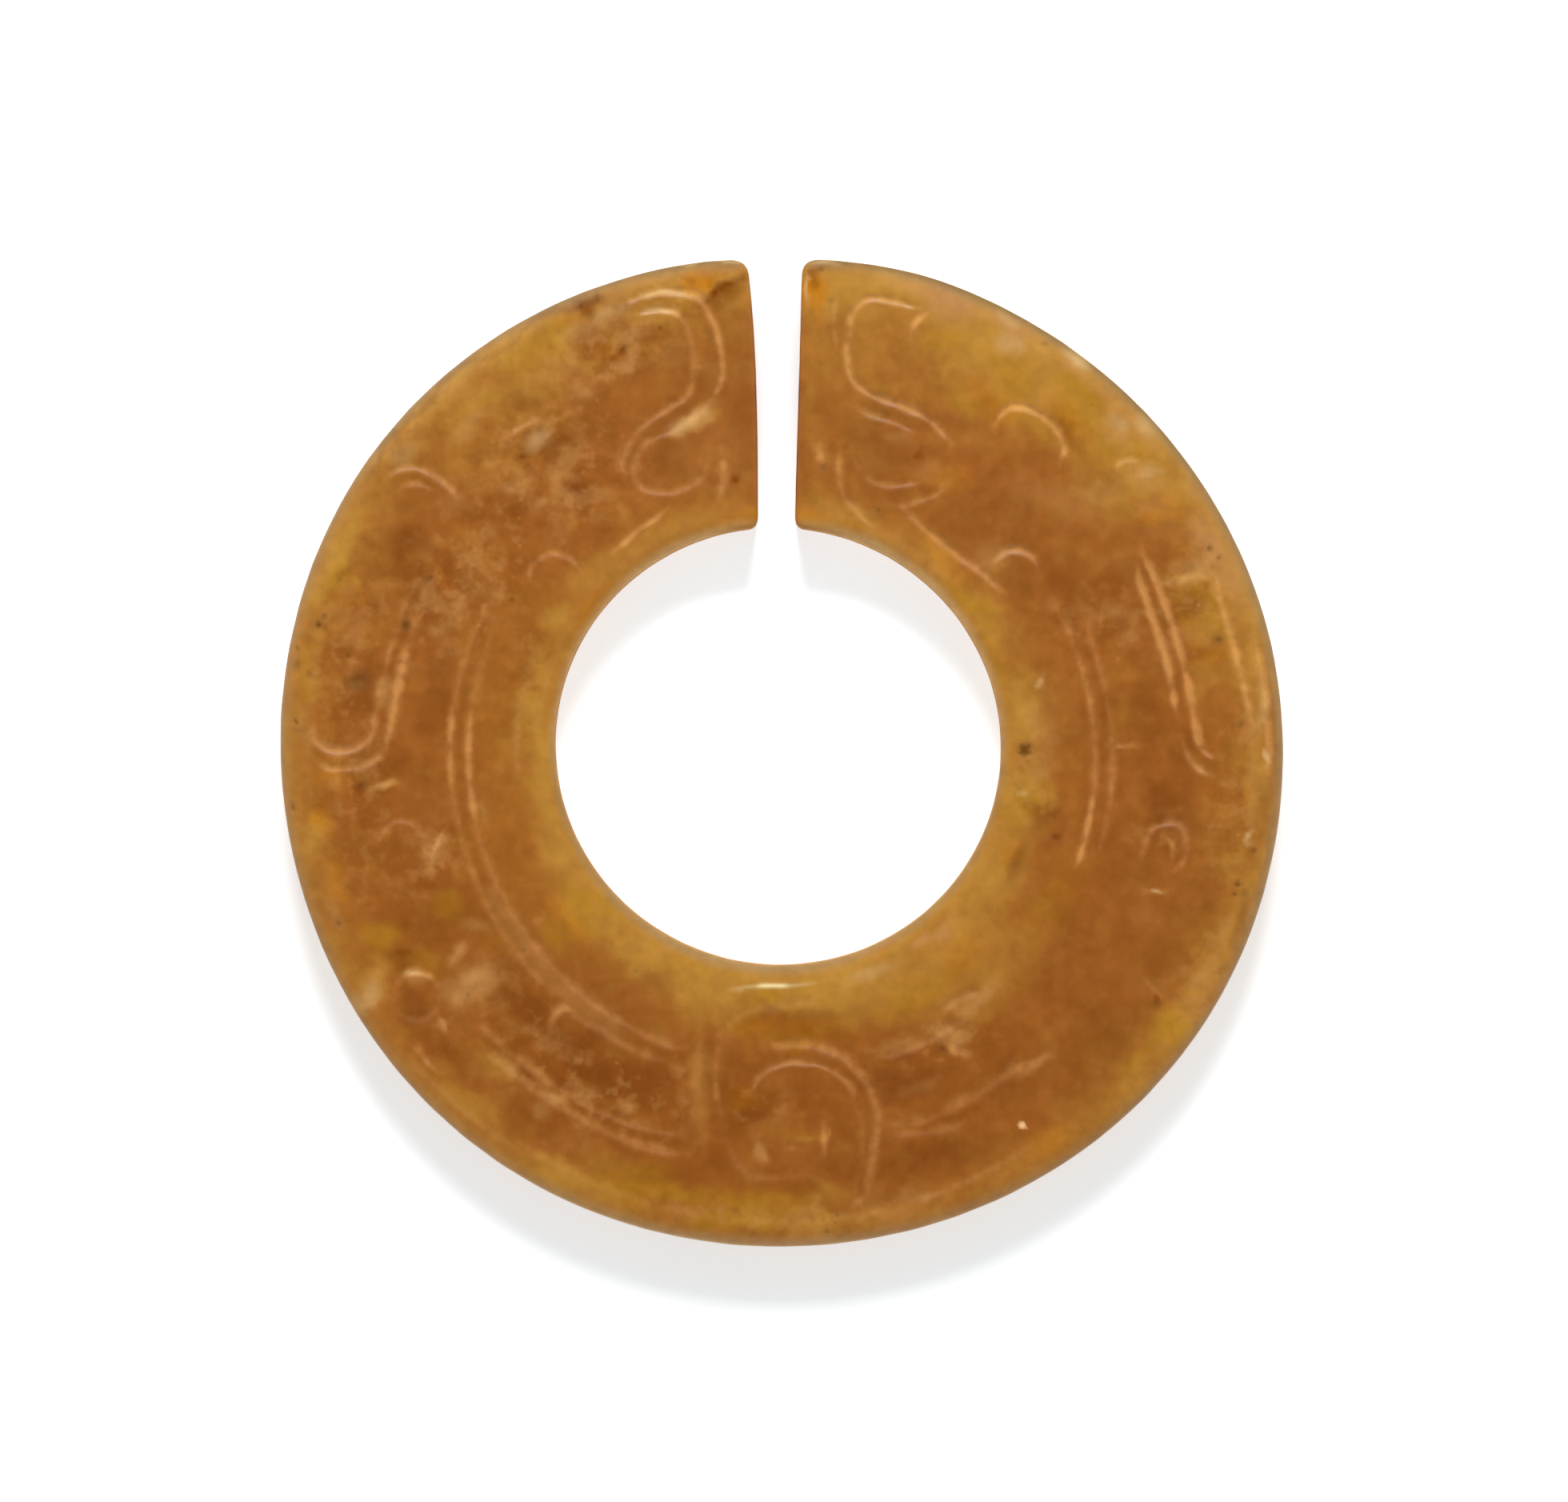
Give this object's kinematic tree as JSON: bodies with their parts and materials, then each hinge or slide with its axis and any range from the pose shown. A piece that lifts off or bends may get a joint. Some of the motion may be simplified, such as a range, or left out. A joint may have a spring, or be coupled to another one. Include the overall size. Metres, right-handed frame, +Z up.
{
  "type": "jade slit disc",
  "caption": "Flat jade ring with a round centre hole and one narrow radial slit; its face has shallow incised beast heads, band lines and a spiral, its back is plain.",
  "frame": {"origin": "on the plain back, below the middle of the disc's bounding box", "axes": "+Z up out of the carved face, +Y from the centre through the slit, +X to the right of the slit seen from above"},
  "size_m": [0.0503, 0.0494, 0.004],
  "materials": {
    "jade": "polished, slightly translucent russet-brown nephrite with amber and olive mottling"
  },
  "bodies": {
    "root": {"jade_disc": "jade"}
  },
  "joints": []
}
